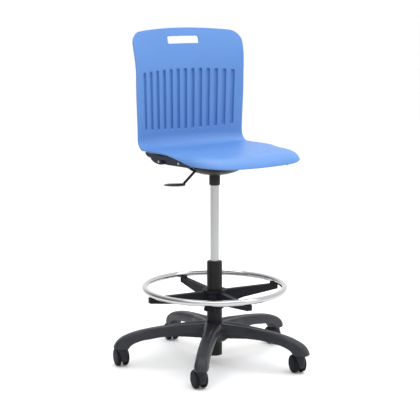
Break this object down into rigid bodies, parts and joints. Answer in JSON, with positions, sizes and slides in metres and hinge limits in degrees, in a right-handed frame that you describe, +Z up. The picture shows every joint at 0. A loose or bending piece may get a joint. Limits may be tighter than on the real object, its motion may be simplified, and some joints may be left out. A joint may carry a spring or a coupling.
{
  "type": "drafting chair",
  "caption": "Tall drafting chair: one-piece moulded plastic shell on a gas lift column, adjustable chrome foot ring and a star base on swivelling twin-wheel casters.",
  "frame": {"origin": "middle of the bounding box in plan, at floor level", "axes": "+Z up; the sitter faces -Y and +X is on the sitter's left"},
  "size_m": [0.6364, 0.6544, 1.096],
  "materials": {
    "blue_plastic": "satin moulded polypropylene",
    "navy_plastic": "satin moulded plastic",
    "charcoal_plastic": "satin glass-filled nylon",
    "dark_plastic": "satin nylon",
    "black_paint": "fine textured black powder coat",
    "gloss_black": "glossy moulded plastic",
    "chrome": "bright polished chrome plate",
    "satin_steel": "ground steel",
    "zinc_steel": "bright zinc plate",
    "rubber": "black rubber"
  },
  "bodies": {
    "root": {"base_star": "charcoal_plastic", "outer_tube": "black_paint", "guide_bush": "dark_plastic", "thrust_bearing": "zinc_steel", "rubber_bumper": "rubber"},
    "spindle": {"piston_rod": "satin_steel", "piston": "dark_plastic", "retaining_clip": "zinc_steel"},
    "seat": {"gas_cylinder": "satin_steel", "cylinder_gland": "dark_plastic", "cone_socket": "black_paint", "mechanism_plate": "black_paint", "mechanism_cover": "black_paint", "lever_bracket": "black_paint", "lever_pin": "zinc_steel", "seat_frame": "navy_plastic", "frame_pin_right_1": "zinc_steel", "frame_pin_right_2": "zinc_steel", "frame_pin_left_1": "zinc_steel", "frame_pin_left_2": "zinc_steel", "seat_shell": "blue_plastic"},
    "lever": {"lever_rod": "black_paint", "lever_paddle": "gloss_black"},
    "button": {"release_button": "zinc_steel"},
    "foot_ring": {"foot_ring": "chrome", "foot_ring_spider": "dark_plastic", "ring_saddle_1": "rubber", "ring_saddle_2": "rubber", "ring_saddle_3": "rubber", "ring_saddle_4": "rubber"},
    "clamp": {"clamp_screw": "zinc_steel", "clamp_knob": "dark_plastic"},
    "caster_1": {"caster_1_stem": "zinc_steel", "caster_1_hood": "dark_plastic", "caster_1_axle": "zinc_steel"},
    "caster_1_wheel_right": {"caster_1_wheel_right": "dark_plastic"},
    "caster_1_wheel_left": {"caster_1_wheel_left": "dark_plastic"},
    "caster_2": {"caster_2_stem": "zinc_steel", "caster_2_hood": "dark_plastic", "caster_2_axle": "zinc_steel"},
    "caster_2_wheel_right": {"caster_2_wheel_right": "dark_plastic"},
    "caster_2_wheel_left": {"caster_2_wheel_left": "dark_plastic"},
    "caster_3": {"caster_3_stem": "zinc_steel", "caster_3_hood": "dark_plastic", "caster_3_axle": "zinc_steel"},
    "caster_3_wheel_right": {"caster_3_wheel_right": "dark_plastic"},
    "caster_3_wheel_left": {"caster_3_wheel_left": "dark_plastic"},
    "caster_4": {"caster_4_stem": "zinc_steel", "caster_4_hood": "dark_plastic", "caster_4_axle": "zinc_steel"},
    "caster_4_wheel_right": {"caster_4_wheel_right": "dark_plastic"},
    "caster_4_wheel_left": {"caster_4_wheel_left": "dark_plastic"},
    "caster_5": {"caster_5_stem": "zinc_steel", "caster_5_hood": "dark_plastic", "caster_5_axle": "zinc_steel"},
    "caster_5_wheel_right": {"caster_5_wheel_right": "dark_plastic"},
    "caster_5_wheel_left": {"caster_5_wheel_left": "dark_plastic"}
  },
  "joints": [
    {"name": "seat_swivel", "type": "hinge", "parent": "root", "child": "spindle", "pos_m": [-0.01406, -0.0241, 0.03], "axis": [0, 0, 1], "continuous": true},
    {"name": "seat_height", "type": "slide", "parent": "spindle", "child": "seat", "axis": [0, 0, 1], "range_m": [-0.215, 0]},
    {"name": "lever_lift", "type": "hinge", "parent": "seat", "child": "lever", "pos_m": [-0.06007, -0.0241, 0.6715], "axis": [0, 1, 0], "range_deg": [0, 6], "stiffness_Nm_per_rad": 2, "springref_deg": -2.86},
    {"name": "button_press", "type": "slide", "parent": "seat", "child": "button", "axis": [0, 0, 1], "range_m": [-0.0055, 0]},
    {"name": "foot_ring_height", "type": "slide", "parent": "root", "child": "foot_ring", "axis": [0, 0, 1], "range_m": [-0.03, 0.09]},
    {"name": "clamp_turn", "type": "hinge", "parent": "foot_ring", "child": "clamp", "pos_m": [-0.04723, -0.04646, 0.198], "axis": [-0.829, -0.5592, 0], "range_deg": [0, 180]},
    {"name": "caster_1_swivel", "type": "hinge", "parent": "root", "child": "caster_1", "pos_m": [0.28662, 0.0246, 0.06], "axis": [0, 0, 1], "continuous": true},
    {"name": "caster_1_wheel_right_roll", "type": "hinge", "parent": "caster_1", "child": "caster_1_wheel_right", "pos_m": [0.29055, 0.04165, 0.03], "axis": [0.9744, -0.225, 0], "continuous": true},
    {"name": "caster_1_wheel_left_roll", "type": "hinge", "parent": "caster_1", "child": "caster_1_wheel_left", "pos_m": [0.29055, 0.04165, 0.03], "axis": [0.9744, -0.225, 0], "continuous": true},
    {"name": "caster_2_swivel", "type": "hinge", "parent": "root", "child": "caster_2", "pos_m": [0.03253, 0.27692, 0.06], "axis": [0, 0, 1], "continuous": true},
    {"name": "caster_2_wheel_right_roll", "type": "hinge", "parent": "caster_2", "child": "caster_2_wheel_right", "pos_m": [0.03647, 0.29397, 0.03], "axis": [0.9744, -0.225, 0], "continuous": true},
    {"name": "caster_2_wheel_left_roll", "type": "hinge", "parent": "caster_2", "child": "caster_2_wheel_left", "pos_m": [0.03647, 0.29397, 0.03], "axis": [0.9744, -0.225, 0], "continuous": true},
    {"name": "caster_3_swivel", "type": "hinge", "parent": "root", "child": "caster_3", "pos_m": [-0.28595, 0.11324, 0.06], "axis": [0, 0, 1], "continuous": true},
    {"name": "caster_3_wheel_right_roll", "type": "hinge", "parent": "caster_3", "child": "caster_3_wheel_right", "pos_m": [-0.28201, 0.13029, 0.03], "axis": [0.9744, -0.225, 0], "continuous": true},
    {"name": "caster_3_wheel_left_roll", "type": "hinge", "parent": "caster_3", "child": "caster_3_wheel_left", "pos_m": [-0.28201, 0.13029, 0.03], "axis": [0.9744, -0.225, 0], "continuous": true},
    {"name": "caster_4_swivel", "type": "hinge", "parent": "root", "child": "caster_4", "pos_m": [-0.2287, -0.24023, 0.06], "axis": [0, 0, 1], "continuous": true},
    {"name": "caster_4_wheel_right_roll", "type": "hinge", "parent": "caster_4", "child": "caster_4_wheel_right", "pos_m": [-0.22476, -0.22318, 0.03], "axis": [0.9744, -0.225, 0], "continuous": true},
    {"name": "caster_4_wheel_left_roll", "type": "hinge", "parent": "caster_4", "child": "caster_4_wheel_left", "pos_m": [-0.22476, -0.22318, 0.03], "axis": [0.9744, -0.225, 0], "continuous": true},
    {"name": "caster_5_swivel", "type": "hinge", "parent": "root", "child": "caster_5", "pos_m": [0.12517, -0.29501, 0.06], "axis": [0, 0, 1], "continuous": true},
    {"name": "caster_5_wheel_right_roll", "type": "hinge", "parent": "caster_5", "child": "caster_5_wheel_right", "pos_m": [0.1291, -0.27796, 0.03], "axis": [0.9744, -0.225, 0], "continuous": true},
    {"name": "caster_5_wheel_left_roll", "type": "hinge", "parent": "caster_5", "child": "caster_5_wheel_left", "pos_m": [0.1291, -0.27796, 0.03], "axis": [0.9744, -0.225, 0], "continuous": true}
  ],
  "couplings": [
    {"joint": "button_press", "follows": "lever_lift", "m_per_rad": -0.0475}
  ]
}
